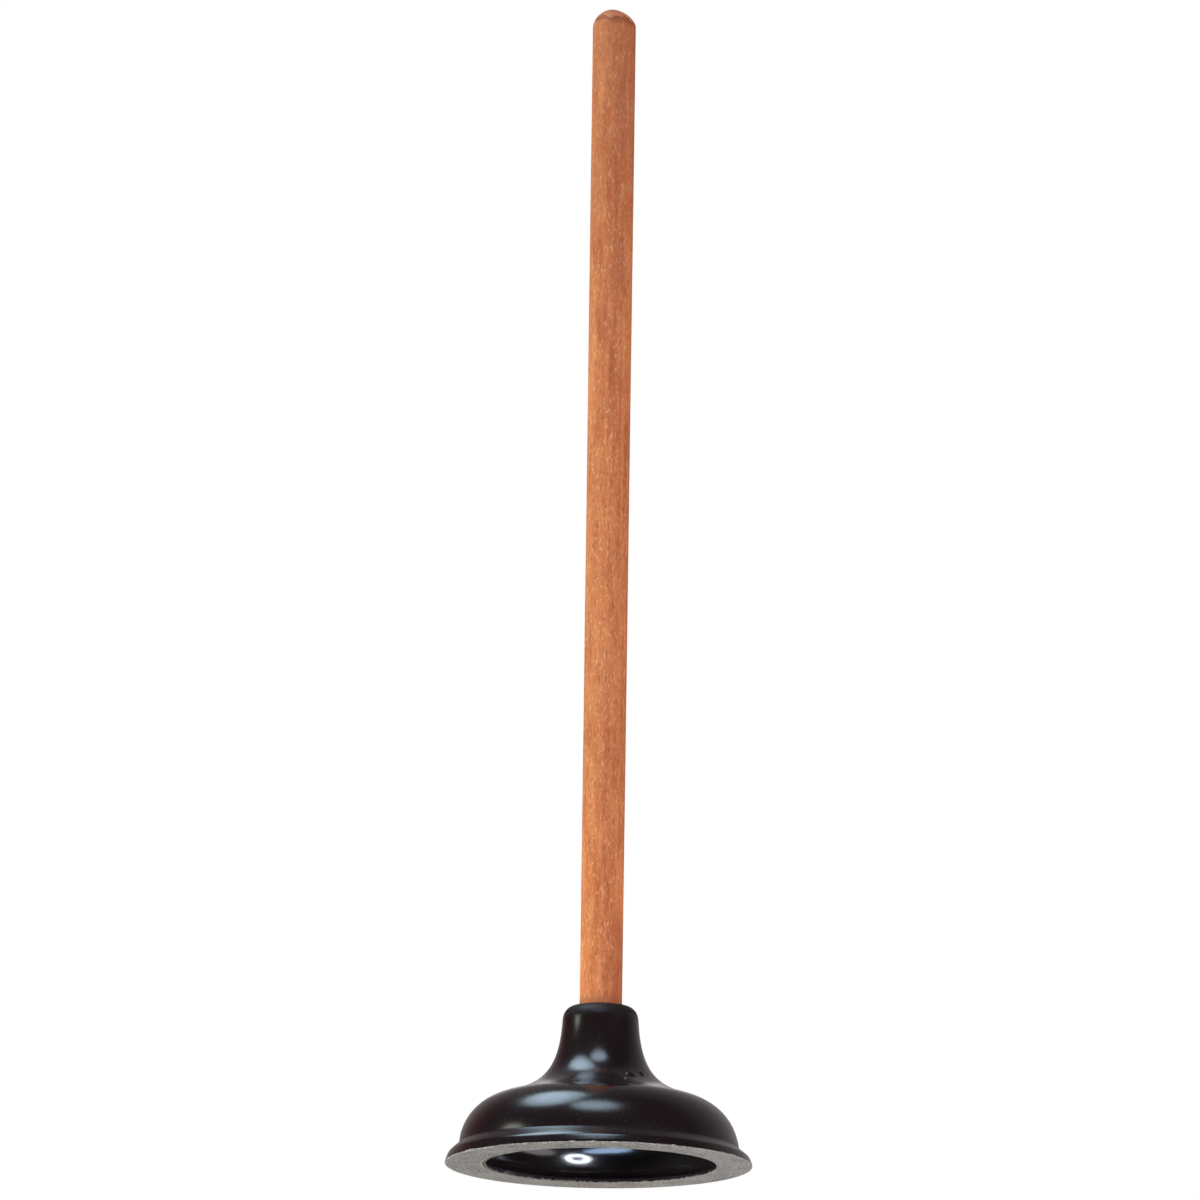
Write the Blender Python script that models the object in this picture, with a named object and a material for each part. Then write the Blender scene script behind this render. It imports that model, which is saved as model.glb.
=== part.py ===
"""A force-cup plunger: a turned hardwood handle held in a moulded rubber cup by a screw and a washer.

Metres, +Z up. The origin is the centre of the cup's sealing face, which lies on z = 0, and the handle
stands along +Z. The cup is at rest, not pressed down.
"""

import math

import bmesh
import bpy
from mathutils import Vector

MM = 0.001
GAP = 0.3 * MM  # left between pieces that touch
SEGMENTS = 48

# The cup's lip, which carries the sealing face
RIM_RADIUS = 73.0 * MM
MOUTH_RADIUS = 55.0 * MM
LIP_EDGE = 1.0 * MM  # height of the lip's upright outer edge
EDGE_BREAK = 0.5 * MM  # bevel under that edge
LIP_CORNER = (71.7 * MM, 4.5 * MM)  # where the lines of the lip's top and of its edge meet
LIP_PULL = 2.5
BLADE_EDGE = 1.9 * MM  # height of the lip's upright inner edge
BLADE_ROOT_Z = 3.2 * MM  # where the top of the lip would meet the inside of the wall
BLADE_PULL = 0.9

# The cup's dome
DOME_FOOT = (66.6 * MM, 8.8 * MM)
SHOULDER = (65.1 * MM, 28.1 * MM)  # where the wall's line meets the shoulder's line
DOME_PULL = 0.87
WALL = 3.8 * MM
HOLLOW_FOOT_Z = 8.0 * MM  # where the inside of the wall comes out of its fillet

# The cup's neck and socket
NECK_ROOT = (20.7 * MM, 39.4 * MM)  # where the shoulder's line meets the neck's line
INFLECTION = 0.44  # the share of the way from SHOULDER to NECK_ROOT where the dome turns into the flare
FLARE_PULL = 1.32
NECK_FOOT = (18.3 * MM, 66.0 * MM)  # where the flare ends and the straight taper starts
NECK_TOP_RADIUS = 17.5 * MM
NECK_TOP_Z = 76.5 * MM
NECK_ROUNDING = 6.8 * MM
NECK_ROUNDING_PULL = 0.85
SOCKET_BEVEL = 0.7 * MM
WEB_FLOOR_Z = 50.0 * MM
CEILING_Z = 43.5 * MM  # underside of the web
CEILING_RADIUS = 15.5 * MM
CEILING_ROOT_RADIUS = 24.2 * MM  # where the hollow turns up into the neck
CEILING_PULL = 0.8

# The handle
HANDLE_LENGTH = 508.0 * MM
HANDLE_FOOT_RADIUS = 10.1 * MM
HANDLE_TOP_RADIUS = 10.3 * MM
HANDLE_DOME = 9.0 * MM
HANDLE_DOME_PULL = 0.62
HANDLE_CHAMFER = 1.5 * MM
HANDLE_FOOT_Z = WEB_FLOOR_Z + GAP

# The screw and its washer
SCREW_LENGTH = 32.0 * MM  # under the head
SCREW_RADIUS = 2.1 * MM
SCREW_POINT = 6.0 * MM
HEAD_RADIUS = 4.1 * MM
HEAD_HEIGHT = 3.0 * MM
HEAD_CORNER_RADIUS = 3.7 * MM  # where the head's domed face turns up to its rim
HEAD_RIM = 0.9 * MM
HEAD_PULL = 0.75
RECESS_LENGTH = 4.6 * MM
RECESS_WIDTH = 1.0 * MM
RECESS_DEPTH = 1.7 * MM
RECESS_LENGTH_TAPER = 0.55  # size at the bottom of the recess, as a share of that at its mouth
RECESS_WIDTH_TAPER = 0.75
RECESS_OVERRUN = 1.0 * MM
PILOT_OVERRUN = 1.0 * MM
WASHER_RADIUS = 8.0 * MM
WASHER_THICKNESS = 1.5 * MM
WASHER_BEVEL = 0.25 * MM
HOLE_CLEARANCE = 0.4 * MM
WASHER_TOP_Z = CEILING_Z - GAP
SCREW_SEAT_Z = WASHER_TOP_Z - WASHER_THICKNESS - GAP

RUBBER = (0.021, 0.018, 0.018, 1.0)
STAINED_WOOD = (0.50, 0.17, 0.075, 1.0)
ZINC = (0.62, 0.62, 0.60, 1.0)


def clear_scene():
    for obj in list(bpy.data.objects):
        bpy.data.objects.remove(obj, do_unlink=True)


def make_material(name, colour, roughness, metallic=0.0):
    material = bpy.data.materials.new(name)
    material.use_nodes = True
    shader = material.node_tree.nodes["Principled BSDF"]
    shader.inputs["Base Color"].default_value = colour
    shader.inputs["Roughness"].default_value = roughness
    shader.inputs["Metallic"].default_value = metallic
    return material


def bend(start, corner, end, pull, steps):
    """Points after start on the conic that leaves start towards corner and reaches end from corner.

    A pull of 0.707 between square tangents is a quarter of a circle or an ellipse, and a larger pull
    keeps the curve nearer to the corner.
    """
    points = []
    for i in range(1, steps + 1):
        t = i / steps
        weights = ((1 - t) ** 2, 2 * pull * t * (1 - t), t**2)
        total = sum(weights)
        points.append(
            tuple(sum(w * p[k] for w, p in zip(weights, (start, corner, end))) / total for k in (0, 1))
        )
    return points


def between(a, b, share):
    return tuple(a[k] + (b[k] - a[k]) * share for k in (0, 1))


def turn(name, outline, material, closed):
    """A solid turned about Z from (radius, height) points: a closed loop, or a line from axis to axis."""
    mesh = bpy.data.meshes.new(name)
    shape = bmesh.new()
    points = [shape.verts.new((radius, 0, height)) for radius, height in outline]
    edges = [shape.edges.new(pair) for pair in zip(points, points[1:])]
    if closed:
        edges.append(shape.edges.new((points[-1], points[0])))
    bmesh.ops.spin(
        shape,
        geom=points + edges,
        cent=(0, 0, 0),
        axis=(0, 0, 1),
        angle=2 * math.pi,
        steps=SEGMENTS,
        use_merge=True,
    )
    bmesh.ops.remove_doubles(shape, verts=shape.verts[:], dist=1e-6)
    bmesh.ops.recalc_face_normals(shape, faces=shape.faces[:])
    shape.to_mesh(mesh)
    shape.free()
    mesh.shade_smooth()
    mesh.set_sharp_from_angle(angle=math.radians(32))
    mesh.materials.append(material)
    obj = bpy.data.objects.new(name, mesh)
    bpy.context.scene.collection.objects.link(obj)
    return obj


def axis_empty(name, height):
    """An empty on the plunger's axis, which carries the pieces of one body."""
    empty = bpy.data.objects.new(name, None)
    empty.empty_display_size = 0.03
    empty.location = (0, 0, height)
    bpy.context.scene.collection.objects.link(empty)
    return empty


def put_under(child, parent):
    """Parents a piece modelled in world space, which moves its own origin to the parent's."""
    child.data.transform(parent.matrix_basis.inverted())
    child.parent = parent


def moved_in(a, b, distance):
    """The line from a to b, moved to its left by distance."""
    along = (Vector(b) - Vector(a)).normalized()
    sideways = Vector((-along.y, along.x)) * distance
    return Vector(a) + sideways, Vector(b) + sideways


def crossing(first, second):
    """Where two lines meet, each given by two of its points."""
    (a, b), (c, d) = first, second
    share = (c - a).cross(d - c) / (b - a).cross(d - c)
    return tuple(a + (b - a) * share)


def level(height):
    return Vector((0, height)), Vector((RIM_RADIUS, height))


def upright(radius):
    return Vector((radius, 0)), Vector((radius, NECK_TOP_Z))


def cup_outside():
    """From the top of the neck, over the flare and the dome, to the lip's outer edge."""
    rounding_start = (HANDLE_FOOT_RADIUS + GAP + SOCKET_BEVEL, NECK_TOP_Z)
    neck_corner = (NECK_TOP_RADIUS, NECK_TOP_Z)
    neck_line_end = between(neck_corner, NECK_FOOT, NECK_ROUNDING / (NECK_TOP_Z - NECK_FOOT[1]))
    inflection = between(SHOULDER, NECK_ROOT, INFLECTION)
    return [
        rounding_start,
        *bend(rounding_start, neck_corner, neck_line_end, NECK_ROUNDING_PULL, 6),
        NECK_FOOT,
        *bend(NECK_FOOT, NECK_ROOT, inflection, FLARE_PULL, 11),
        *bend(inflection, SHOULDER, DOME_FOOT, DOME_PULL, 11),
        *bend(DOME_FOOT, LIP_CORNER, (RIM_RADIUS, LIP_EDGE), LIP_PULL, 8),
    ]


def cup_inside():
    """From the lip's inner edge, up the wall and across the hollow, to the ceiling under the socket."""
    wall = moved_in(DOME_FOOT, SHOULDER, WALL)
    shoulder = moved_in(SHOULDER, NECK_ROOT, WALL)
    inflection = tuple(shoulder[0].lerp(shoulder[1], INFLECTION))
    blade_top = (MOUTH_RADIUS, BLADE_EDGE)
    wall_foot = crossing(wall, level(HOLLOW_FOOT_Z))
    return [
        blade_top,
        *bend(blade_top, crossing(wall, level(BLADE_ROOT_Z)), wall_foot, BLADE_PULL, 5),
        *bend(wall_foot, crossing(wall, shoulder), inflection, DOME_PULL, 9),
        *bend(
            inflection,
            crossing(shoulder, upright(CEILING_ROOT_RADIUS)),
            (CEILING_RADIUS, CEILING_Z),
            CEILING_PULL,
            6,
        ),
    ]


def make_force_cup(material):
    """One moulding: lip, dome, flared neck, and a blind socket with a web that the screw passes through."""
    hole = SCREW_RADIUS + HOLE_CLEARANCE
    socket = HANDLE_FOOT_RADIUS + GAP
    outline = [
        (hole, CEILING_Z),
        (hole, WEB_FLOOR_Z),
        (socket, WEB_FLOOR_Z),
        (socket, NECK_TOP_Z - SOCKET_BEVEL),
        *cup_outside(),
        (RIM_RADIUS, EDGE_BREAK),
        (RIM_RADIUS - EDGE_BREAK, 0),
        (MOUTH_RADIUS, 0),
        *cup_inside(),
    ]
    return turn("force_cup", outline, material, closed=True)


def make_handle(material):
    """A dowel with a domed top, a chamfered foot in the socket, and a pilot hole for the screw."""
    top = HANDLE_FOOT_Z + HANDLE_LENGTH
    pilot = SCREW_RADIUS + GAP
    pilot_end = SCREW_SEAT_Z + SCREW_LENGTH + PILOT_OVERRUN
    dome_start = (HANDLE_TOP_RADIUS, top - HANDLE_DOME)
    outline = [
        (0, pilot_end + pilot),
        (pilot, pilot_end),
        (pilot, HANDLE_FOOT_Z),
        (HANDLE_FOOT_RADIUS - HANDLE_CHAMFER, HANDLE_FOOT_Z),
        (HANDLE_FOOT_RADIUS, HANDLE_FOOT_Z + HANDLE_CHAMFER),
        dome_start,
        *bend(dome_start, (HANDLE_TOP_RADIUS, top), (0, top), HANDLE_DOME_PULL, 8),
    ]
    return turn("handle", outline, material, closed=False)


def make_washer(material):
    hole = SCREW_RADIUS + HOLE_CLEARANCE
    lower = WASHER_TOP_Z - WASHER_THICKNESS
    outline = [
        (hole, lower),
        (hole, WASHER_TOP_Z),
        (WASHER_RADIUS - WASHER_BEVEL, WASHER_TOP_Z),
        (WASHER_RADIUS, WASHER_TOP_Z - WASHER_BEVEL),
        (WASHER_RADIUS, lower + WASHER_BEVEL),
        (WASHER_RADIUS - WASHER_BEVEL, lower),
    ]
    return turn("screw_washer", outline, material, closed=True)


def make_recess_cutter(name, angle, head_bottom):
    """One bar of the cross recess, narrower and shorter at the bottom of the recess."""
    mesh = bpy.data.meshes.new(name)
    shape = bmesh.new()
    bmesh.ops.create_cube(shape, size=1.0)
    for vert in shape.verts:
        deep = vert.co.z > 0
        vert.co.x *= RECESS_LENGTH * (RECESS_LENGTH_TAPER if deep else 1.0)
        vert.co.y *= RECESS_WIDTH * (RECESS_WIDTH_TAPER if deep else 1.0)
        vert.co.z = RECESS_DEPTH if deep else -RECESS_OVERRUN
    shape.to_mesh(mesh)
    shape.free()
    cutter = bpy.data.objects.new(name, mesh)
    cutter.location = (0, 0, head_bottom)
    cutter.rotation_euler.z = angle
    cutter.hide_render = True
    cutter.display_type = "WIRE"
    bpy.context.scene.collection.objects.link(cutter)
    return cutter


def make_screw(material):
    """A pan-head wood screw, driven upwards from inside the cup into the handle's end grain."""
    head_bottom = SCREW_SEAT_Z - HEAD_HEIGHT
    tip = SCREW_SEAT_Z + SCREW_LENGTH
    outline = [
        (0, head_bottom),
        *bend(
            (0, head_bottom),
            (HEAD_CORNER_RADIUS, head_bottom),
            (HEAD_RADIUS, SCREW_SEAT_Z - HEAD_RIM),
            HEAD_PULL,
            6,
        ),
        (HEAD_RADIUS, SCREW_SEAT_Z),
        (SCREW_RADIUS, SCREW_SEAT_Z),
        (SCREW_RADIUS, tip - SCREW_POINT),
        (0, tip),
    ]
    screw = turn("retaining_screw", outline, material, closed=False)
    for name, angle in (("recess_cutter_a", 0.0), ("recess_cutter_b", math.pi / 2)):
        recess = screw.modifiers.new(name, "BOOLEAN")
        recess.object = make_recess_cutter(name, angle, head_bottom)
        recess.solver = "EXACT"
    return screw


def main():
    clear_scene()
    bpy.context.scene.unit_settings.system = "METRIC"
    rubber = make_material("black_rubber", RUBBER, 0.22)
    wood = make_material("stained_wood", STAINED_WOOD, 0.42)
    zinc = make_material("zinc_plate", ZINC, 0.35, metallic=1.0)

    make_force_cup(rubber)

    # The handle, its screw and the washer slide down together as the cup is pressed.
    plunge_axis = axis_empty("plunge_axis", WEB_FLOOR_Z)
    for piece in (make_handle(wood), make_screw(zinc), make_washer(zinc)):
        put_under(piece, plunge_axis)


main()
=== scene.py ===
"""The finished look of a force-cup plunger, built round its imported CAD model.

Metres, +Z up, in the CAD model's frame: the sealing face lies on z = 0 and the handle stands along +Z.
"""

import math

import bmesh
import bpy
import numpy as np
from mathutils import Matrix, Vector, noise


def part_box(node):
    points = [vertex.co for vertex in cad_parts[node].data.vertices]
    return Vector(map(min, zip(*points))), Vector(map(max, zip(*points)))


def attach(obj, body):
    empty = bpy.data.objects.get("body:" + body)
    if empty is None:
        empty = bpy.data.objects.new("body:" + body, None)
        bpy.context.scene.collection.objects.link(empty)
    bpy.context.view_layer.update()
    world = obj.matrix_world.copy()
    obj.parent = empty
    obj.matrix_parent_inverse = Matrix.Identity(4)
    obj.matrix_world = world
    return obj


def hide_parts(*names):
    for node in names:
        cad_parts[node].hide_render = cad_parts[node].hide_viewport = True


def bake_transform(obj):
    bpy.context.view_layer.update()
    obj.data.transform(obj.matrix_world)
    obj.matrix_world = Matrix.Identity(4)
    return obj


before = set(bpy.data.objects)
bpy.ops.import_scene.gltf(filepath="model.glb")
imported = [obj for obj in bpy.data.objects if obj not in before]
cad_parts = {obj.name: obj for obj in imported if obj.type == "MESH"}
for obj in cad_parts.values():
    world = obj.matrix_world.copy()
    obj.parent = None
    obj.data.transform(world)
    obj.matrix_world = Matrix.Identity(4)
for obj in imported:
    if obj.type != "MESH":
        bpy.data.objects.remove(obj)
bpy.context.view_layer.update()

MM = 0.001
GAP = 0.3 * MM  # left by the CAD model between pieces that touch
HANDLE_BODY = "handle_set"

cup_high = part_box("force_cup")[1]
handle_low, handle_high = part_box("handle")
screw_low, screw_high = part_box("retaining_screw")
washer_low, washer_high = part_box("screw_washer")

# The cup: its lip and top come from the frame, the rest is its moulded section as (radius, height)
RIM_RADIUS = cup_high.x
NECK_TOP_Z = cup_high.z
SOCKET_FLOOR_Z = handle_low.z - GAP
CEILING_Z = washer_high.z + GAP
MOUTH_RADIUS = RIM_RADIUS - 18.0 * MM
LIP_EDGE = 1.0 * MM
BLADE_EDGE = 1.9 * MM
BLADE_ROOT_Z = 3.2 * MM
LIP_CORNER = (RIM_RADIUS - 1.3 * MM, 4.5 * MM)
DOME_FOOT = (66.6 * MM, 8.8 * MM)
SHOULDER = (65.1 * MM, 28.1 * MM)
NECK_ROOT = (20.7 * MM, 39.4 * MM)
INFLECTION = 0.44  # share of the way from the shoulder to the neck's root where the curve turns over
DOME_PULL = 0.87
NECK_HEIGHT = 10.5 * MM
NECK_ROUNDING = 6.8 * MM  # how far down the rounding of the neck's top reaches
NECK_FOOT = (18.3 * MM, NECK_TOP_Z - NECK_HEIGHT)
NECK_TOP_RADIUS = 17.5 * MM
WALL = 3.8 * MM
HOLLOW_FOOT_Z = 8.0 * MM
CEILING_RADIUS = 15.5 * MM
CEILING_ROOT_RADIUS = 24.2 * MM
SOCKET_SLACK = 0.2 * MM
SOCKET_TOP_SLACK = 0.12 * MM
SOCKET_BEVEL = 0.9 * MM
LIP_CHAMFER = 0.45 * MM
MOUTH_CHAMFER = 0.3 * MM
GROUND_HEIGHT = 0.42 * MM  # how far up the lip the grinding reaches
WORN_DEPTH = 4.6 * MM  # how far down the top of the neck is worn dull
GROUND_SLOT, WORN_SLOT = 1, 2

# The fixing: what the frame doesn't give
SCREW_SEAT_Z = washer_low.z - GAP
SCREW_RADIUS = 2.1 * MM
SCREW_CORE_RADIUS = 1.45 * MM
SCREW_POINT = 6.0 * MM
THREAD_PITCH = 1.9 * MM
RECESS_LENGTH = 4.6 * MM
RECESS_WIDTH = 1.0 * MM
RECESS_DEPTH = 1.7 * MM
FIXING_HOLE = 2.5 * MM

# The handle
HANDLE_FOOT_RADIUS = 10.1 * MM
HANDLE_TOP_RADIUS = handle_high.x
HANDLE_TOP_Z = handle_high.z
HANDLE_DOME = 9.0 * MM
TIP_LEAN = 0.9 * MM
PILOT_RADIUS = 2.4 * MM


# ---------------------------------------------------------------- turned shapes


def bend(start, corner, end, pull, steps):
    """Points after start on the conic that leaves start towards corner and reaches end from corner."""
    points = []
    for i in range(1, steps + 1):
        t = i / steps
        weights = ((1 - t) ** 2, 2 * pull * t * (1 - t), t**2)
        total = sum(weights)
        points.append(
            tuple(sum(w * p[k] for w, p in zip(weights, (start, corner, end))) / total for k in (0, 1))
        )
    return points


def straight(start, end, steps):
    """Points after start on the line to end."""
    return [between(start, end, i / steps) for i in range(1, steps + 1)]


def between(a, b, share):
    return tuple(a[k] + (b[k] - a[k]) * share for k in (0, 1))


def turn(name, outline, segments, closed):
    """A mesh object turned about Z from (radius, height) points, without merging what a shaper may move."""
    outline = np.array(outline)
    angles = np.arange(segments) * (2 * math.pi / segments)
    on_axis = outline[:, 0] < 1e-7
    rings, points = [], []
    for (radius, height), axial in zip(outline, on_axis):
        start = len(points)
        if axial:
            points.append((0.0, 0.0, height))
            rings.append([start] * segments)
        else:
            points.extend((radius * math.cos(a), radius * math.sin(a), height) for a in angles)
            rings.append(list(range(start, start + segments)))
    pairs = list(zip(rings, rings[1:] + rings[:1])) if closed else list(zip(rings, rings[1:]))
    faces = []
    for low, high in pairs:
        for i in range(segments):
            j = (i + 1) % segments
            corners = [low[i], low[j], high[j], high[i]]
            faces.append(tuple(dict.fromkeys(corners)))
    mesh = bpy.data.meshes.new(name)
    mesh.from_pydata(points, [], [face for face in faces if len(face) > 2])
    mesh.validate()
    obj = bpy.data.objects.new(name, mesh)
    bpy.context.scene.collection.objects.link(obj)
    return obj


def shape_points(obj, mover):
    """Moves each vertex to where mover puts it."""
    for vert in obj.data.vertices:
        vert.co = mover(vert.co.copy())
    obj.data.update()


def finish_mesh(obj, sharp_degrees, *materials):
    """Turns the faces outwards, smooths them except at sharp edges, and gives the piece its materials."""
    shape = bmesh.new()
    shape.from_mesh(obj.data)
    bmesh.ops.recalc_face_normals(shape, faces=shape.faces[:])
    shape.to_mesh(obj.data)
    shape.free()
    obj.data.shade_smooth()
    obj.data.set_sharp_from_angle(angle=math.radians(sharp_degrees))
    for material in materials:
        obj.data.materials.append(material)


# ---------------------------------------------------------------- node helpers


def add(tree, kind, inputs=None, **settings):
    """A new shader node. Inputs are given by name or number, as a value or as another node's output."""
    made = tree.nodes.new("ShaderNode" + kind)
    for name, value in settings.items():
        setattr(made, name, value)
    for name, value in (inputs or {}).items():
        if isinstance(value, bpy.types.NodeSocket):
            tree.links.new(value, made.inputs[name])
        else:
            made.inputs[name].default_value = value
    return made


def maths(tree, operation, *values):
    return add(tree, "Math", dict(enumerate(values)), operation=operation).outputs[0]


def mix(tree, share, a, b, blend="MIX"):
    """Mixes two colours by share."""
    made = add(tree, "Mix", {0: share, 6: a, 7: b}, data_type="RGBA", blend_type=blend)
    return made.outputs[2]


def step_up(tree, value, low, high):
    """0 below low, 1 above high and smooth in between. Low above high turns it round."""
    made = add(
        tree,
        "MapRange",
        {0: value, 1: low, 2: high, 3: 0.0, 4: 1.0},
        interpolation_type="SMOOTHSTEP",
        clamp=True,
    )
    return made.outputs[0]


def scaled(tree, vector, x, y, z):
    return add(tree, "Mapping", {"Vector": vector, "Scale": (x, y, z)}).outputs[0]


def grains(tree, vector, scale, detail=2.0, roughness=0.5):
    settings = {"Vector": vector, "Scale": scale, "Detail": detail, "Roughness": roughness}
    return add(tree, "TexNoise", settings).outputs[0]


def length(tree, vector):
    return add(tree, "VectorMath", {0: vector}, operation="LENGTH").outputs["Value"]


def band(tree, value, low, rise, fall, high):
    """1 between rise and fall, 0 below low and above high, and smooth in between."""
    return maths(tree, "MULTIPLY", step_up(tree, value, low, rise), step_up(tree, value, high, fall))


def stain(tree, tone, where, strength, colour):
    """Lays colour over tone by strength, only where there is something in where."""
    return mix(tree, maths(tree, "MULTIPLY", where, strength), tone, colour)


def new_material(name):
    material = bpy.data.materials.new(name)
    material.use_nodes = True
    tree = material.node_tree
    return material, tree, tree.nodes["Principled BSDF"]


def set_inputs(shader, tree, values):
    for name, value in values.items():
        if isinstance(value, bpy.types.NodeSocket):
            tree.links.new(value, shader.inputs[name])
        else:
            shader.inputs[name].default_value = value


# ---------------------------------------------------------------- materials


def make_rubber(name, shine, dullness):
    """Moulded black rubber: a warm black with cloudy gloss and fine dust. Dullness roughens it."""
    material, tree, shader = new_material(name)
    coordinates = add(tree, "TexCoord").outputs
    place, normal = coordinates["Object"], coordinates["Normal"]
    height = add(tree, "SeparateXYZ", {0: place}).outputs[2]
    cloud = grains(tree, place, 38.0, 3.0, 0.55)
    fine = grains(tree, place, 700.0, 2.0, 0.6)
    dust = step_up(tree, grains(tree, place, 1700.0, 1.0, 0.5), 0.71, 0.77)
    tint = mix(tree, cloud, (0.0100, 0.0058, 0.0068, 1), (0.0145, 0.0090, 0.0102, 1))
    colour = stain(tree, tint, dust, 0.2, (0.06, 0.055, 0.052, 1))
    gloss = maths(tree, "MULTIPLY_ADD", cloud, 0.12, 0.120 + dullness)
    gloss = maths(tree, "MULTIPLY_ADD", fine, 0.04, gloss)
    gloss = maths(tree, "MULTIPLY_ADD", dust, 0.2, gloss)
    # Handling has dulled the top of the neck.
    worn = maths(tree, "MULTIPLY_ADD", cloud, 6 * MM, height)
    top = step_up(tree, worn, NECK_TOP_Z - 6 * MM, NECK_TOP_Z)
    gloss = maths(tree, "MULTIPLY_ADD", top, 0.20, gloss)
    # Dirt dulls the fold above the lip and the root of the neck.
    fold = band(tree, worn, 7.5 * MM, 10.5 * MM, 11.5 * MM, 14 * MM)
    root = band(tree, worn, 36 * MM, 40 * MM, 45 * MM, 49 * MM)
    gloss = maths(tree, "MULTIPLY_ADD", fold, 0.05, maths(tree, "MULTIPLY_ADD", root, 0.04, gloss))
    # The hollow, whose surface faces the axis, is painted paler to stand in for light reaching it, and has
    # kept the mould's polish.
    from_axis = scaled(tree, place, 1, 1, 0)
    outwards = add(tree, "VectorMath", {0: from_axis, 1: normal}, operation="DOT_PRODUCT")
    hollow = step_up(tree, outwards.outputs["Value"], 4 * MM, -4 * MM)
    colour = mix(tree, hollow, colour, (0.033, 0.023, 0.026, 1))
    gloss = maths(tree, "MULTIPLY", gloss, maths(tree, "MULTIPLY_ADD", hollow, -0.30, 1.0))
    # The grinding has dragged grey rubber a little way up the lip's edges.
    torn = maths(tree, "MULTIPLY_ADD", grains(tree, place, 330.0, 3.0, 0.7), -3.2 * MM, height)
    torn = step_up(tree, torn, -1.0 * MM, -1.35 * MM)
    drag = maths(tree, "MULTIPLY", torn, step_up(tree, height, 1.6 * MM, 1.2 * MM))
    colour = mix(tree, drag, colour, (0.26, 0.24, 0.21, 1))
    gloss = maths(tree, "MAXIMUM", gloss, maths(tree, "MULTIPLY", drag, 0.75))
    relief = maths(tree, "MULTIPLY_ADD", grains(tree, place, 160.0, 2.0, 0.5), 0.8, fine)
    bump = add(tree, "Bump", {"Strength": 0.06, "Distance": 0.0003, "Height": relief})
    set_inputs(
        shader,
        tree,
        {
            "Base Color": colour,
            "Roughness": gloss,
            "Normal": bump.outputs[0],
            "IOR": 1.52,
            "Specular IOR Level": shine,
        },
    )
    return material


def make_ground_rubber():
    """The sealing face, ground flat: matte grey and mottled, with circular grinding marks and specks."""
    material, tree, shader = new_material("ground_grey_rubber")
    place = add(tree, "TexCoord").outputs["Object"]
    x, y, z = add(tree, "SeparateXYZ", {0: place}).outputs
    squares = maths(tree, "ADD", maths(tree, "MULTIPLY", x, x), maths(tree, "MULTIPLY", y, y))
    radius = maths(tree, "SQRT", squares)
    # Noise that hardly changes with the angle draws out into rings.
    around = maths(tree, "MULTIPLY", maths(tree, "ARCTAN2", y, x), 0.0035)
    rings = add(tree, "CombineXYZ", {0: radius, 1: around, 2: z})
    marks = grains(tree, rings.outputs[0], 2200.0, 3.0, 0.65)
    mottle = step_up(tree, grains(tree, place, 130.0, 4.0, 0.65), 0.36, 0.64)
    blotch = step_up(tree, grains(tree, place, 300.0, 3.0, 0.7), 0.38, 0.62)
    smear = step_up(tree, grains(tree, place, 48.0, 2.0, 0.5), 0.40, 0.62)
    speck = grains(tree, place, 820.0, 3.0, 0.7)
    tone = mix(tree, mottle, (0.110, 0.104, 0.092, 1), (0.375, 0.350, 0.312, 1))
    tone = stain(tree, tone, blotch, 0.55, (0.140, 0.130, 0.116, 1))
    # It is greener on the left, pinker at the back and paler on the right.
    tone = stain(tree, tone, step_up(tree, x, 20 * MM, -60 * MM), 0.5, (0.225, 0.212, 0.180, 1))
    tone = stain(tree, tone, step_up(tree, y, 0.0, 60 * MM), 0.5, (0.265, 0.220, 0.192, 1))
    tone = stain(tree, tone, step_up(tree, x, 10 * MM, 60 * MM), 0.4, (0.295, 0.275, 0.248, 1))
    tone = stain(tree, tone, smear, 0.35, (0.42, 0.385, 0.34, 1))
    tone = stain(tree, tone, step_up(tree, marks, 0.42, 0.70), 0.40, (0.47, 0.44, 0.40, 1))
    tone = stain(tree, tone, step_up(tree, speck, 0.48, 0.36), 0.85, (0.080, 0.075, 0.068, 1))
    tone = stain(tree, tone, step_up(tree, speck, 0.53, 0.65), 0.80, (0.58, 0.55, 0.50, 1))
    # A paler ragged ring runs beside the mouth, and inside it the black skin shows.
    ragged = maths(tree, "MULTIPLY_ADD", grains(tree, place, 420.0, 3.0, 0.6), 1.6 * MM, -0.8 * MM)
    reach = maths(tree, "ADD", radius, ragged)
    bead = step_up(tree, reach, MOUTH_RADIUS + 1.3 * MM, MOUTH_RADIUS + 0.5 * MM)
    tone = stain(tree, tone, bead, 0.55, (0.50, 0.44, 0.37, 1))
    inner = step_up(tree, reach, MOUTH_RADIUS + 0.5 * MM, MOUTH_RADIUS - 0.1 * MM)
    tone = stain(tree, tone, inner, 0.85, (0.035, 0.030, 0.030, 1))
    relief = maths(tree, "ADD", marks, speck)
    bump = add(tree, "Bump", {"Strength": 0.7, "Distance": 0.0004, "Height": relief})
    set_inputs(
        shader,
        tree,
        {
            "Base Color": tone,
            "Roughness": maths(tree, "MULTIPLY_ADD", mottle, 0.15, 0.78),
            "Normal": bump.outputs[0],
            "Specular IOR Level": 0.25,
        },
    )
    return material


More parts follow.
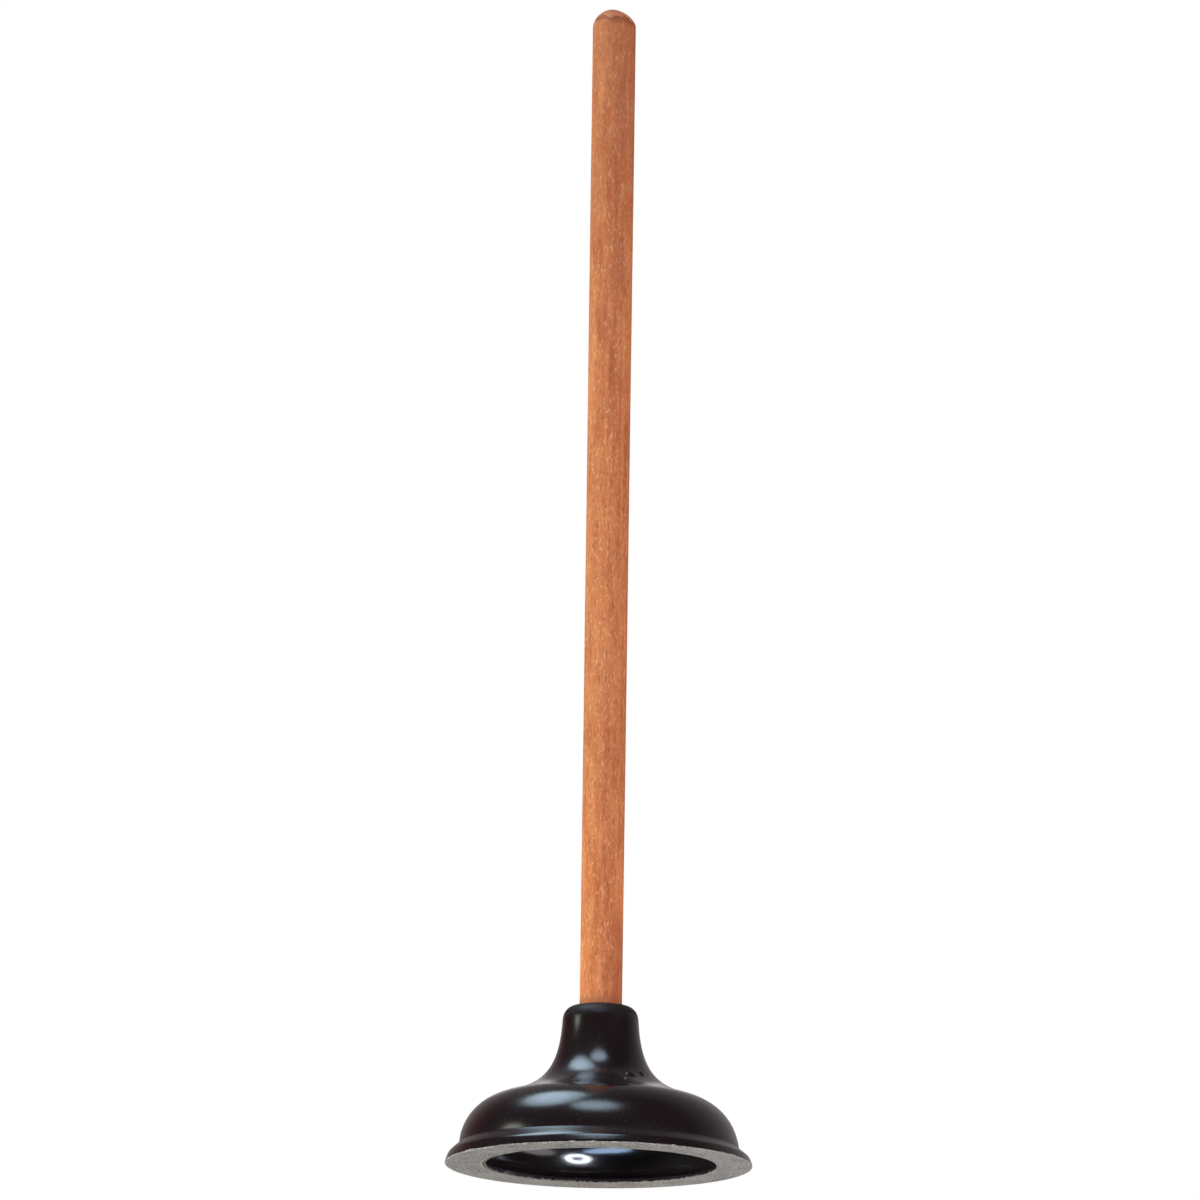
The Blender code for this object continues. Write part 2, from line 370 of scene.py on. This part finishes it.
def make_stained_wood():
    """Reddish-brown stained hardwood: soft growth bands, pale flecks and fine dark pores along the grain."""
    material, tree, shader = new_material("stained_hardwood")
    place = add(tree, "TexCoord").outputs["Object"]
    sideways, _, height = add(tree, "SeparateXYZ", {0: place}).outputs

    # Growth bands: rings about a pith that lies beside the handle, drawn out along the grain.
    wander = grains(tree, scaled(tree, place, 1, 1, 0.12), 60.0, 2.0, 0.5)
    pith = add(tree, "VectorMath", {0: place, 1: (0.047, 0.031, 0.0)}, operation="SUBTRACT").outputs[0]
    ring = maths(tree, "MULTIPLY_ADD", wander, 0.006, length(tree, scaled(tree, pith, 1, 1, 0.0)))
    bands = maths(tree, "SINE", maths(tree, "MULTIPLY", ring, 1900.0))
    bands = maths(tree, "MULTIPLY_ADD", bands, 0.5, 0.5)

    along = scaled(tree, place, 1, 1, 0.10)
    streaks = step_up(tree, grains(tree, along, 420.0, 3.0, 0.6), 0.30, 0.70)
    patches = step_up(tree, grains(tree, scaled(tree, place, 1, 1, 0.35), 60.0, 3.0, 0.6), 0.34, 0.66)
    fibre = grains(tree, scaled(tree, place, 1, 1, 0.42), 1050.0, 2.0, 0.65)
    fleck = step_up(tree, fibre, 0.53, 0.70)
    pore = step_up(tree, grains(tree, scaled(tree, place, 1, 1, 0.2), 1500.0, 1.0, 0.5), 0.42, 0.30)

    tone = mix(tree, streaks, (0.363, 0.098, 0.036, 1), (0.583, 0.200, 0.080, 1))
    tone = stain(tree, tone, bands, 0.30, (0.326, 0.084, 0.035, 1))
    tone = stain(tree, tone, patches, 0.55, (0.631, 0.234, 0.094, 1))
    tone = stain(tree, tone, fleck, 0.50, (0.822, 0.434, 0.226, 1))
    tone = stain(tree, tone, pore, 0.55, (0.230, 0.060, 0.027, 1))

    # Reddish clouds, and the tone is made lighter and warmer towards the foot.
    redness = step_up(tree, grains(tree, scaled(tree, place, 1, 1, 0.55), 190.0, 3.0, 0.65), 0.48, 0.66)
    tone = stain(tree, tone, redness, 0.40, (0.460, 0.109, 0.041, 1))
    tone = mix(tree, step_up(tree, height, 0.22, 0.10), tone, (1.16, 1.12, 1.05, 1), blend="MULTIPLY")

    # The stain is browner and patchier towards the top, where the right side also has painted shade.
    upper = step_up(tree, height, 0.34, 0.58)
    blotch = step_up(tree, grains(tree, scaled(tree, place, 1, 1, 0.22), 75.0, 3.0, 0.6), 0.38, 0.66)
    blotch = maths(tree, "MULTIPLY_ADD", blotch, 0.45, 0.18)
    shaded = maths(tree, "MULTIPLY", upper, step_up(tree, sideways, -9 * MM, -3 * MM))
    tone = mix(tree, shaded, tone, (0.84, 0.82, 0.86, 1), blend="MULTIPLY")
    tone = mix(tree, maths(tree, "MULTIPLY", upper, blotch), tone, (0.316, 0.109, 0.056, 1))

    # Near the foot it has run redder down the right side.
    run = maths(tree, "MULTIPLY_ADD", grains(tree, along, 180.0, 2.0, 0.5), 4 * MM, sideways)
    run = maths(tree, "MULTIPLY", step_up(tree, run, 5 * MM, 9 * MM), step_up(tree, height, 0.130, 0.105))
    tone = stain(tree, tone, run, 0.45, (0.344, 0.086, 0.043, 1))

    # Two pale nicks on the front.
    for nick in ((0.3 * MM, -10.2 * MM, 293 * MM), (-0.6 * MM, -10.2 * MM, 244 * MM)):
        offset = add(tree, "VectorMath", {0: place, 1: nick}, operation="SUBTRACT").outputs[0]
        reach = length(tree, scaled(tree, offset, 1, 1, 0.22))
        mark = step_up(tree, maths(tree, "MULTIPLY_ADD", fibre, 0.7 * MM, reach), 0.85 * MM, 0.45 * MM)
        tone = stain(tree, tone, mark, 0.55, (0.765, 0.456, 0.318, 1))

    # The domed tip took less stain, and its ragged border took more.
    border = maths(tree, "MULTIPLY_ADD", grains(tree, place, 240.0, 3.0, 0.7), 9.0 * MM, -4.5 * MM)
    tip = maths(tree, "ADD", height, maths(tree, "MULTIPLY_ADD", sideways, 0.16, border))
    edge = HANDLE_TOP_Z - 4.9 * MM
    dark = band(tree, tip, edge - 3.6 * MM, edge - 0.2 * MM, edge, edge + 0.5 * MM)
    tone = stain(tree, tone, dark, 0.75, (0.191, 0.049, 0.024, 1))
    cap = step_up(tree, tip, edge, edge + 0.8 * MM)
    tone = stain(tree, tone, cap, 0.8, (0.535, 0.206, 0.099, 1))

    # Painted shadow where the handle enters the neck.
    foot = step_up(tree, height, NECK_TOP_Z + 7 * MM, NECK_TOP_Z)
    tone = stain(tree, tone, foot, 0.45, (0.191, 0.065, 0.040, 1))

    relief = maths(tree, "SUBTRACT", maths(tree, "MULTIPLY", streaks, 0.6), pore)
    bump = add(tree, "Bump", {"Strength": 0.22, "Distance": 0.0002, "Height": relief})
    gloss = maths(tree, "MULTIPLY_ADD", streaks, 0.14, 0.48)
    gloss = maths(tree, "MULTIPLY_ADD", pore, 0.2, gloss)
    set_inputs(
        shader,
        tree,
        {
            "Base Color": tone,
            "Roughness": gloss,
            "Normal": bump.outputs[0],
            "Specular IOR Level": 0.12,
        },
    )
    return material


def make_zinc():
    """Bright zinc plate, slightly yellowed and scuffed."""
    material, tree, shader = new_material("zinc_plate")
    place = add(tree, "TexCoord").outputs["Object"]
    cloud = grains(tree, place, 260.0, 3.0, 0.6)
    scuff = grains(tree, scaled(tree, place, 1, 1, 4), 2400.0, 2.0, 0.6)
    tone = mix(tree, cloud, (0.56, 0.55, 0.50, 1), (0.72, 0.72, 0.70, 1))
    tone = stain(tree, tone, step_up(tree, scuff, 0.58, 0.70), 0.5, (0.42, 0.40, 0.36, 1))
    bump = add(tree, "Bump", {"Strength": 0.2, "Distance": 0.0001, "Height": scuff})
    set_inputs(
        shader,
        tree,
        {
            "Base Color": tone,
            "Roughness": maths(tree, "MULTIPLY_ADD", cloud, 0.25, 0.22),
            "Metallic": 1.0,
            "Normal": bump.outputs[0],
        },
    )
    return material


# ---------------------------------------------------------------- the cup


def moved_in(a, b, distance):
    """The line from a to b, moved to its left by distance."""
    along = (Vector(b) - Vector(a)).normalized()
    sideways = Vector((-along.y, along.x)) * distance
    return Vector(a) + sideways, Vector(b) + sideways


def crossing(first, second):
    """Where two lines meet, each given by two of its points."""
    (a, b), (c, d) = first, second
    share = (c - a).cross(d - c) / (b - a).cross(d - c)
    return tuple(a + (b - a) * share)


def level(height):
    return Vector((0, height)), Vector((RIM_RADIUS, height))


def upright(radius):
    return Vector((radius, 0)), Vector((radius, NECK_TOP_Z))


def cup_outside():
    """From the neck's top, over the flare and the dome, to the lip's outer edge."""
    rounding_start = (HANDLE_FOOT_RADIUS + SOCKET_BEVEL, NECK_TOP_Z)
    neck_corner = (NECK_TOP_RADIUS, NECK_TOP_Z)
    neck_line_end = between(neck_corner, NECK_FOOT, NECK_ROUNDING / NECK_HEIGHT)
    inflection = between(SHOULDER, NECK_ROOT, INFLECTION)
    lip_top = (RIM_RADIUS - 0.05 * MM, LIP_EDGE)
    return [
        rounding_start,
        *bend(rounding_start, neck_corner, neck_line_end, 0.85, 16),
        *straight(neck_line_end, NECK_FOOT, 3),
        *bend(NECK_FOOT, NECK_ROOT, inflection, 1.32, 64),
        *bend(inflection, SHOULDER, DOME_FOOT, DOME_PULL, 56),
        *bend(DOME_FOOT, LIP_CORNER, lip_top, 6.0, 32),
    ]


def cup_inside():
    """From the lip's inner edge, up the wall and across the hollow, to the ceiling under the socket."""
    wall = moved_in(DOME_FOOT, SHOULDER, WALL)
    shoulder = moved_in(SHOULDER, NECK_ROOT, WALL)
    inflection = tuple(shoulder[0].lerp(shoulder[1], INFLECTION))
    blade_top = (MOUTH_RADIUS, BLADE_EDGE)
    wall_foot = crossing(wall, level(HOLLOW_FOOT_Z))
    ceiling = (CEILING_RADIUS, CEILING_Z)
    return [
        blade_top,
        *bend(blade_top, crossing(wall, level(BLADE_ROOT_Z)), wall_foot, 0.9, 12),
        *bend(wall_foot, crossing(wall, shoulder), inflection, DOME_PULL, 26),
        *bend(inflection, crossing(shoulder, upright(CEILING_ROOT_RADIUS)), ceiling, 0.8, 14),
        *straight(ceiling, (9.0 * MM, CEILING_Z), 2),
    ]


def limited(value):
    """Value, kept between 0 and 1."""
    return min(1.0, max(0.0, value))


def waviness(point, seed, size):
    """Smooth noise between -1 and 1, whose lumps are about size across."""
    return noise.noise(point / size + Vector((seed, seed * 1.7, -seed)))


# Marks left by the mould at the foot of the neck: azimuth, radius, height, and reach along and across
MOULD_MARKS = (
    (-60.6, 29.9 * MM, 1.50 * MM, 2.7 * MM, 1.2 * MM),
    (-45.0, 28.3 * MM, 1.10 * MM, 1.0 * MM, 1.0 * MM),
    (-69.3, 35.7 * MM, 1.10 * MM, 0.9 * MM, 1.1 * MM),
    (-72.7, 47.0 * MM, 0.40 * MM, 1.3 * MM, 1.2 * MM),
    (-63.0, 43.0 * MM, 0.35 * MM, 1.0 * MM, 1.0 * MM),
)


def mark_height(point):
    height = 0.0
    for azimuth, radius, rise, along, across in MOULD_MARKS:
        a = math.radians(azimuth)
        turned = Matrix.Rotation(-a, 2) @ Vector((point.x, point.y))
        away = math.hypot((turned.x - radius) / across, turned.y / along)
        height = max(height, rise * math.exp(-(away**4)))
    return height


def settle_rubber(point):
    """A moulding is never quite true: it has slow waves, a ragged mouth and the mould's marks."""
    radius = math.hypot(point.x, point.y)
    if radius < 1e-6:
        return point
    outward = Vector((point.x, point.y, 0)) / radius
    off_floor = limited((point.z - LIP_EDGE) / (6 * MM))
    in_socket = radius < HANDLE_TOP_RADIUS + 1.5 * MM
    if not in_socket:
        slow = waviness(point, 3.1, 46 * MM) * 0.28 * MM + waviness(point, 8.7, 15 * MM) * 0.05 * MM
        point = point + (outward * 0.8 + Vector((0, 0, 0.6))) * slow * off_floor
        # The dome sits a little higher on one side.
        point.z -= point.x / RIM_RADIUS * 0.7 * MM * off_floor * min(1.0, radius / (30 * MM))
        # The mould's marks are on the outside only, above the middle of the wall.
        slope = (SHOULDER[1] - NECK_ROOT[1]) / (SHOULDER[0] - NECK_ROOT[0])
        if point.z > NECK_ROOT[1] + slope * (radius - NECK_ROOT[0]) - WALL / 2:
            point.z += mark_height(point)
    # The mouth was trimmed a little off centre.
    inwards = max(0.0, (RIM_RADIUS - radius) / (RIM_RADIUS - MOUTH_RADIUS))
    near_mouth = max(0.0, 1 - point.z / (14 * MM)) * inwards
    point.x += 1.2 * MM * min(1.0, near_mouth)
    if point.z < BLADE_EDGE + 0.1 * MM and radius < MOUTH_RADIUS + 0.2 * MM:
        ragged = waviness(point, 5.0, 3.2 * MM) * 0.22 + waviness(point, 1.0, 1.1 * MM) * 0.16
        point -= outward * max(0.0, ragged) * MM
    return point


def make_force_cup(skin, ground, worn):
    """One moulding in gloss black, with the ground face in matte grey and the neck's top worn dull."""
    socket_foot = (HANDLE_FOOT_RADIUS + SOCKET_SLACK, SOCKET_FLOOR_Z)
    socket_top = (HANDLE_FOOT_RADIUS + SOCKET_TOP_SLACK, NECK_TOP_Z - SOCKET_BEVEL)
    face_outer = (RIM_RADIUS - LIP_CHAMFER, 0.0)
    face_inner = (MOUTH_RADIUS + MOUTH_CHAMFER, 0.0)
    outline = [
        (FIXING_HOLE, CEILING_Z),
        (FIXING_HOLE, SOCKET_FLOOR_Z),
        socket_foot,
        *straight(socket_foot, socket_top, 6),
        *cup_outside(),
        (RIM_RADIUS, LIP_EDGE - 0.35 * MM),
        (RIM_RADIUS, 0.45 * MM),
        (RIM_RADIUS - 0.15 * MM, 0.12 * MM),
        face_outer,
        *straight(face_outer, face_inner, 8),
        (MOUTH_RADIUS, 0.12 * MM),
        *cup_inside(),
    ]
    cup = turn("force_cup_rubber", outline, 288, closed=True)
    shape_points(cup, settle_rubber)
    finish_mesh(cup, 38, skin, ground, worn)
    for face in cup.data.polygons:
        centre = face.center
        radius = math.hypot(centre.x, centre.y)
        if centre.z < GROUND_HEIGHT and radius > MOUTH_RADIUS - 1 * MM:
            face.material_index = GROUND_SLOT
        elif centre.z > NECK_TOP_Z - WORN_DEPTH:
            face.material_index = WORN_SLOT
    return cup


# ---------------------------------------------------------------- the handle and its fixing


def settle_wood(point):
    """A sanded dowel: flats up to a tenth of a millimetre deep, and a hand-rounded tip."""
    radius = math.hypot(point.x, point.y)
    if radius < 5 * MM and point.z < HANDLE_TOP_Z - 12 * MM:
        return point
    seen = limited((point.z - NECK_TOP_Z) / (10 * MM))
    stretched = Vector((point.x, point.y, point.z * 0.15))
    wave = waviness(stretched, 2.3, 14 * MM) * 0.10 * MM * seen
    near_tip = limited((point.z - HANDLE_TOP_Z + HANDLE_DOME) / (6 * MM))
    wave += waviness(point, 6.1, 6 * MM) * 0.22 * MM * near_tip
    if radius > 1e-6:
        point -= Vector((point.x, point.y, 0)) / radius * abs(wave)
    # The tip was rounded by hand, and leans a little to one side.
    lean = limited((point.z - HANDLE_TOP_Z) / HANDLE_DOME + 1)
    point.x -= TIP_LEAN * lean * lean
    point.z -= max(0.0, point.x) * 0.05 * lean
    return point


def make_handle(wood):
    dome_start = (HANDLE_TOP_RADIUS, HANDLE_TOP_Z - HANDLE_DOME)
    foot_edge = (HANDLE_FOOT_RADIUS, handle_low.z + 1.5 * MM)
    outline = [
        (0, screw_high.z + 3 * MM),
        (PILOT_RADIUS, screw_high.z + 1 * MM),
        (PILOT_RADIUS, handle_low.z),
        (HANDLE_FOOT_RADIUS - 1.5 * MM, handle_low.z),
        foot_edge,
        *straight(foot_edge, dome_start, 60),
        *bend(dome_start, (HANDLE_TOP_RADIUS, HANDLE_TOP_Z), (0, HANDLE_TOP_Z), 0.62, 22),
    ]
    handle = turn("handle_turned", outline, 128, closed=False)
    shape_points(handle, settle_wood)
    finish_mesh(handle, 38, wood)
    return handle


def cut_screw(point):
    """Presses the cross recess into the head's face and cuts the thread round the shank."""
    radius = math.hypot(point.x, point.y)
    if point.z < SCREW_SEAT_Z - 0.5 * MM and radius < screw_high.x - 0.8 * MM:
        x, y = abs(point.x), abs(point.y)
        half, slim = RECESS_LENGTH / 2, RECESS_WIDTH / 2
        outside = min(max(x - half, y - slim), max(y - half, x - slim))
        depth = limited(0.5 - outside / (0.25 * MM))
        point.z += depth * RECESS_DEPTH * (1 - 0.45 * radius / half)
    elif point.z > SCREW_SEAT_Z + 1 * MM and radius > 1e-6:
        turns = point.z / THREAD_PITCH - math.atan2(point.y, point.x) / (2 * math.pi)
        flank = abs(turns % 1.0 - 0.5) * 2
        crest = max(0.0, 1 - flank / 0.45)
        reach = SCREW_CORE_RADIUS + (SCREW_RADIUS - SCREW_CORE_RADIUS) * crest
        narrowing = min(1.0, (screw_high.z - point.z) / SCREW_POINT)
        wanted = reach * max(0.04, narrowing)
        point.x, point.y = point.x * wanted / radius, point.y * wanted / radius
    return point


def make_screw(zinc):
    """A domed wood screw with a cross recess, head down, its coarse thread running up to the point."""
    head_radius, face = screw_high.x, screw_low.z
    rim = (head_radius, SCREW_SEAT_Z - 0.9 * MM)
    shoulder = (3.7 * MM, face)
    neck = (SCREW_CORE_RADIUS, SCREW_SEAT_Z + 0.7 * MM)
    tip = (SCREW_CORE_RADIUS, screw_high.z - 0.2 * MM)
    outline = [
        (0, face),
        *straight((0, face), shoulder, 30),
        *bend(shoulder, (head_radius, face), rim, 0.75, 10),
        (head_radius, SCREW_SEAT_Z - 0.15 * MM),
        (head_radius - 0.15 * MM, SCREW_SEAT_Z),
        *bend((head_radius - 0.15 * MM, SCREW_SEAT_Z), (SCREW_CORE_RADIUS, SCREW_SEAT_Z), neck, 0.9, 8),
        *straight(neck, tip, 230),
        (0, screw_high.z),
    ]
    screw = turn("wood_screw", outline, 72, closed=False)
    shape_points(screw, cut_screw)
    finish_mesh(screw, 35, zinc)
    return screw


def make_washer(zinc):
    """A stamped washer, rolled over at its lower edges and sharper at its upper ones."""
    low, high, wide = washer_low.z, washer_high.z, washer_high.x
    roll, burr = 0.45 * MM, 0.12 * MM
    outline = [
        (FIXING_HOLE + burr, high),
        *straight((FIXING_HOLE + burr, high), (wide - burr, high), 6),
        *bend((wide - burr, high), (wide, high), (wide, high - burr), 0.7, 3),
        *bend((wide, high - burr), (wide, low), (wide - roll, low), 0.7, 7),
        *straight((wide - roll, low), (FIXING_HOLE + roll, low), 6),
        *bend((FIXING_HOLE + roll, low), (FIXING_HOLE, low), (FIXING_HOLE, low + roll), 0.7, 6),
        *bend((FIXING_HOLE, low + roll), (FIXING_HOLE, high), (FIXING_HOLE + burr, high), 0.7, 4)[:-1],
    ]
    washer = turn("flat_washer", outline, 96, closed=True)
    finish_mesh(washer, 50, zinc)
    return washer


# ---------------------------------------------------------------- build


rubber = make_rubber("moulded_black_rubber", shine=0.5, dullness=0.0)
worn_rubber = make_rubber("worn_black_rubber", shine=0.2, dullness=0.12)
ground = make_ground_rubber()
wood = make_stained_wood()
zinc = make_zinc()

cup = make_force_cup(rubber, ground, worn_rubber)
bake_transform(cup)
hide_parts("force_cup")

handle = make_handle(wood)
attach(handle, HANDLE_BODY)
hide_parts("handle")

for node, piece in (("retaining_screw", make_screw(zinc)), ("screw_washer", make_washer(zinc))):
    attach(piece, HANDLE_BODY)
    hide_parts(node)


# ---------------------------------------------------------------- camera, floor and light

CAMERA_DISTANCE = 14.0
CAMERA_ELEVATION = math.radians(-9.751)
CAMERA_ROLL = math.radians(0.8)
FRAME_SIZE = 0.57126  # width of what the frame shows at the plunger, metres
AIM = Vector((-0.00305, 0.0, 0.27219))
CUP_TARGET = Vector((0, 0, 0.05))
HANDLE_TARGET = Vector((0, 0, 0.25))
LIP_TARGET = Vector((0, 0, 0.02))
PALE = (0.66, 0.86, 0.98)
COOL = (0.50, 0.66, 1.0)


def make_camera():
    """A long lens from slightly below, rolled so that the handle leans as it was photographed."""
    data = bpy.data.cameras.new("camera")
    data.sensor_width = 36.0
    data.lens = data.sensor_width * CAMERA_DISTANCE / FRAME_SIZE
    data.clip_end = 100.0
    camera = bpy.data.objects.new("camera", data)
    bpy.context.scene.collection.objects.link(camera)
    forward = Vector((0, math.cos(CAMERA_ELEVATION), -math.sin(CAMERA_ELEVATION)))
    camera.location = AIM - forward * CAMERA_DISTANCE
    turned = forward.to_track_quat("-Z", "Y").to_matrix().to_4x4()
    roll = Matrix.Rotation(CAMERA_ROLL, 4, "Z")
    camera.matrix_world = Matrix.Translation(camera.location) @ turned @ roll
    bpy.context.scene.camera = camera


def make_floor():
    """A pale floor under the sealing face, fading out into the white surround, and clear from below."""
    mesh = bpy.data.meshes.new("floor")
    reach = 3.0
    mesh.from_pydata(
        [(-reach, -reach, 0), (reach, -reach, 0), (reach, reach, 0), (-reach, reach, 0)], [], [(0, 1, 2, 3)]
    )
    floor = bpy.data.objects.new("floor", mesh)
    floor.location.z = -0.4 * MM
    bpy.context.scene.collection.objects.link(floor)
    material, tree, shader = new_material("pale_floor")
    place = add(tree, "TexCoord").outputs["Object"]
    behind = add(tree, "NewGeometry").outputs["Backfacing"]
    clear = maths(tree, "MAXIMUM", behind, step_up(tree, length(tree, place), 0.5, 2.6))
    tone = mix(tree, grains(tree, place, 30.0, 3.0), (0.80, 0.80, 0.79, 1), (0.84, 0.84, 0.83, 1))
    set_inputs(
        shader,
        tree,
        {
            "Base Color": tone,
            "Roughness": 0.9,
            "Alpha": maths(tree, "SUBTRACT", 1.0, clear),
        },
    )
    mesh.materials.append(material)
    floor.visible_glossy = False
    floor.visible_shadow = False
    floor.visible_diffuse = False


def make_panel(name, direction, distance, width, height, radiance, colour, spin=0.0, gloss=True, wash=True):
    """A soft oval light, given by the radiance of its face, that faces the cup or, without gloss, the handle.

    Without gloss it isn't mirrored in the surfaces, and without wash it is only mirrored in them.
    """
    data = bpy.data.lights.new(name, "AREA")
    data.shape = "ELLIPSE"
    data.size = width
    data.size_y = height
    data.color = colour
    data.energy = radiance * math.pi * (math.pi / 4 * width * height)
    panel = bpy.data.objects.new(name, data)
    target = CUP_TARGET if gloss else HANDLE_TARGET
    panel.location = target + Vector(direction).normalized() * distance
    facing = (target - panel.location).to_track_quat("-Z", "Y").to_matrix().to_4x4()
    panel.rotation_euler = (facing @ Matrix.Rotation(math.radians(spin), 4, "Z")).to_euler()
    panel.visible_camera = False
    panel.visible_glossy = gloss
    panel.visible_diffuse = wash
    bpy.context.scene.collection.objects.link(panel)


def make_ring_lamp(name, direction, distance, inner, outer, radiance, colour):
    """A ring-shaped flash head, built as a flat glowing ring that faces the lip."""
    mesh = bpy.data.meshes.new(name)
    count = 48
    points = []
    for radius in (inner, outer):
        points += [
            (radius * math.cos(2 * math.pi * i / count), radius * math.sin(2 * math.pi * i / count), 0)
            for i in range(count)
        ]
    faces = [(i, (i + 1) % count, count + (i + 1) % count, count + i) for i in range(count)]
    mesh.from_pydata(points, [], faces)
    material, tree, shader = new_material(name)
    set_inputs(
        shader,
        tree,
        {"Base Color": (0, 0, 0, 1), "Emission Color": (*colour, 1), "Emission Strength": radiance},
    )
    mesh.materials.append(material)
    lamp = bpy.data.objects.new(name, mesh)
    lamp.location = LIP_TARGET + Vector(direction).normalized() * distance
    lamp.rotation_euler = (LIP_TARGET - lamp.location).to_track_quat("-Z", "Y").to_euler()
    lamp.visible_camera = False
    lamp.visible_shadow = False
    lamp.visible_diffuse = False
    bpy.context.scene.collection.objects.link(lamp)


def make_world():
    """White to the eye. To the surfaces it is a dim studio: lighter behind, dimmer and warmer on the left."""
    world = bpy.data.worlds.new("surround")
    bpy.context.scene.world = world
    world.use_nodes = True
    tree = world.node_tree
    toward = add(tree, "SeparateXYZ", {0: add(tree, "TexCoord").outputs["Generated"]})
    right = maths(tree, "MAXIMUM", toward.outputs[0], 0.0)
    left = maths(tree, "MAXIMUM", maths(tree, "MULTIPLY", toward.outputs[0], -1.0), 0.0)
    glow = maths(tree, "MULTIPLY_ADD", right, 0.05, maths(tree, "MULTIPLY", toward.outputs[1], 0.43))
    channels = []
    for tint, shade in ((1.0, 0.165), (0.94, 0.255), (0.95, 0.28)):
        tinted = maths(tree, "MULTIPLY", glow, tint)
        channels.append(maths(tree, "MAXIMUM", maths(tree, "MULTIPLY_ADD", left, -shade, tinted), 0.012))
    studio = add(tree, "CombineXYZ", dict(enumerate(channels)))
    seen = add(tree, "LightPath").outputs["Is Camera Ray"]
    colour = mix(tree, seen, studio.outputs[0], (1.0, 1.0, 1.0, 1))
    tree.links.new(colour, tree.nodes["Background"].inputs["Color"])


make_camera()
make_floor()
make_world()
make_panel("overhead_left", (-0.38, 0.0, 0.92), 1.80, 1.30, 1.06, 5.8, PALE, spin=-24, wash=False)
make_panel("overhead_left_core", (-0.38, 0.0, 0.92), 1.79, 0.86, 0.62, 3.4, COOL, spin=-24, wash=False)
make_panel("overhead_front", (-0.04, -0.50, 0.86), 1.80, 0.96, 0.84, 4.8, PALE, wash=False)
make_panel("overhead_front_core", (-0.04, -0.50, 0.86), 1.79, 0.60, 0.46, 3.2, COOL, wash=False)
make_panel("left_window", (-0.925, -0.25, 0.225), 2.2, 0.72, 0.42, 5.0, (0.9, 1.0, 0.85), wash=False)
make_panel("low_left", (-0.12, -0.72, -0.68), 2.0, 1.4, 0.46, 13.5, (0.46, 0.68, 1.0), spin=8, wash=False)
make_panel("low_right", (0.84, -0.40, -0.50), 2.0, 1.5, 0.7, 3.0, (1.0, 0.94, 1.0), wash=False)
make_panel("back_strip", (-0.02, 0.93, 0.36), 3.0, 0.85, 0.50, 0.6, (1.0, 0.95, 0.91), wash=False)
make_ring_lamp("flash_ring", (0.31, -0.89, -0.34), 2.0, 0.20, 0.36, 60.0, (0.78, 0.88, 1.0))
make_panel("left_wash", (-0.966, -0.26, 0.0), 3.5, 2.3, 2.7, 12.7, (0.87, 1.0, 0.97), gloss=False)
make_panel("right_wash", (0.76, -0.65, 0.05), 3.5, 2.3, 2.7, 7.3, (1.0, 0.97, 0.92), gloss=False)
make_panel("back_wash", (0.1, 1.0, 0.15), 3.5, 2.3, 2.3, 6.0, (1.0, 0.98, 0.96), gloss=False)
make_panel("top_wash", (-0.2, -0.35, 0.92), 3.5, 2.3, 2.3, 3.0, (1.0, 0.97, 0.94), gloss=False)
make_panel("low_wash", (0.15, -0.2, -0.97), 3.0, 2.3, 2.3, 5.3, (0.93, 0.96, 1.0), gloss=False)

bpy.context.scene.view_settings.view_transform = "Standard"
